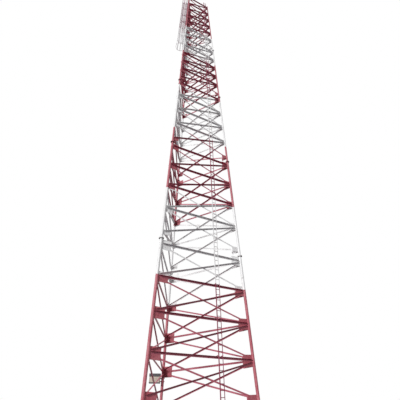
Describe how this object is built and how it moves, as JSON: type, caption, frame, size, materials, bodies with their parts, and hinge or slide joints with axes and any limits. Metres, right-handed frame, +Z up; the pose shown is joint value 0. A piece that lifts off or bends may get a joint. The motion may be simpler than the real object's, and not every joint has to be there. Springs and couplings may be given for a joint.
{
  "type": "three-legged lattice radio mast",
  "caption": "Tall tapering lattice radio mast: flanged pipe legs, cross-braced faces on gusset plates, an outside ladder, a caged upper ladder and a small equipment cabinet.",
  "frame": {"origin": "centre of the underside of the rear leg's foot plate, on the ground", "axes": "+Z up the mast; X along the front face, which holds the ladder; the front face looks towards -Y, with the left leg at -X and the right leg at +X"},
  "size_m": [6.7534, 5.8486, 37.6857],
  "materials": {
    "red_paint": "weathered satin red paint on steel",
    "white_paint": "weathered satin white paint on steel",
    "ladder_paint": "satin paint in the mast's bands",
    "cabinet_shell": "powder coat",
    "cabinet_cover": "pale powder coat",
    "cabinet_trim": "dark powder coat",
    "galvanised_steel": "dull zinc"
  },
  "bodies": {
    "root": {"cabinet_arms": "galvanised_steel", "cabinet_body": "cabinet_shell", "cabinet_cover": "cabinet_cover", "cabinet_hood": "cabinet_trim", "cabinet_tray": "cabinet_trim", "cage_hoops": "red_paint", "cage_straps": "red_paint", "caged_ladder_brackets": "ladder_paint", "caged_ladder_rails": "ladder_paint", "caged_ladder_rungs": "ladder_paint", "front_bracing_base": "red_paint", "front_bracing_section_1": "red_paint", "front_bracing_section_2": "red_paint", "front_bracing_section_3": "white_paint", "front_bracing_section_4": "red_paint", "front_bracing_section_5": "red_paint", "ladder_brackets": "ladder_paint", "ladder_rails": "ladder_paint", "ladder_rungs": "ladder_paint", "left_bracing_base": "red_paint", "left_bracing_section_1": "red_paint", "left_bracing_section_2": "red_paint", "left_bracing_section_3": "white_paint", "left_bracing_section_4": "red_paint", "left_bracing_section_5": "red_paint", "left_leg_base": "red_paint", "left_leg_gussets": "red_paint", "left_leg_section_1": "red_paint", "left_leg_section_2": "red_paint", "left_leg_section_3": "white_paint", "left_leg_section_4": "red_paint", "left_leg_section_5": "red_paint", "rear_leg_base": "red_paint", "rear_leg_gussets": "red_paint", "rear_leg_section_1": "red_paint", "rear_leg_section_2": "red_paint", "rear_leg_section_3": "white_paint", "rear_leg_section_4": "red_paint", "rear_leg_section_5": "red_paint", "right_bracing_base": "red_paint", "right_bracing_section_1": "red_paint", "right_bracing_section_2": "red_paint", "right_bracing_section_3": "white_paint", "right_bracing_section_4": "red_paint", "right_bracing_section_5": "red_paint", "right_leg_base": "red_paint", "right_leg_gussets": "red_paint", "right_leg_section_1": "red_paint", "right_leg_section_2": "red_paint", "right_leg_section_3": "white_paint", "right_leg_section_4": "red_paint", "right_leg_section_5": "red_paint"}
  },
  "joints": []
}
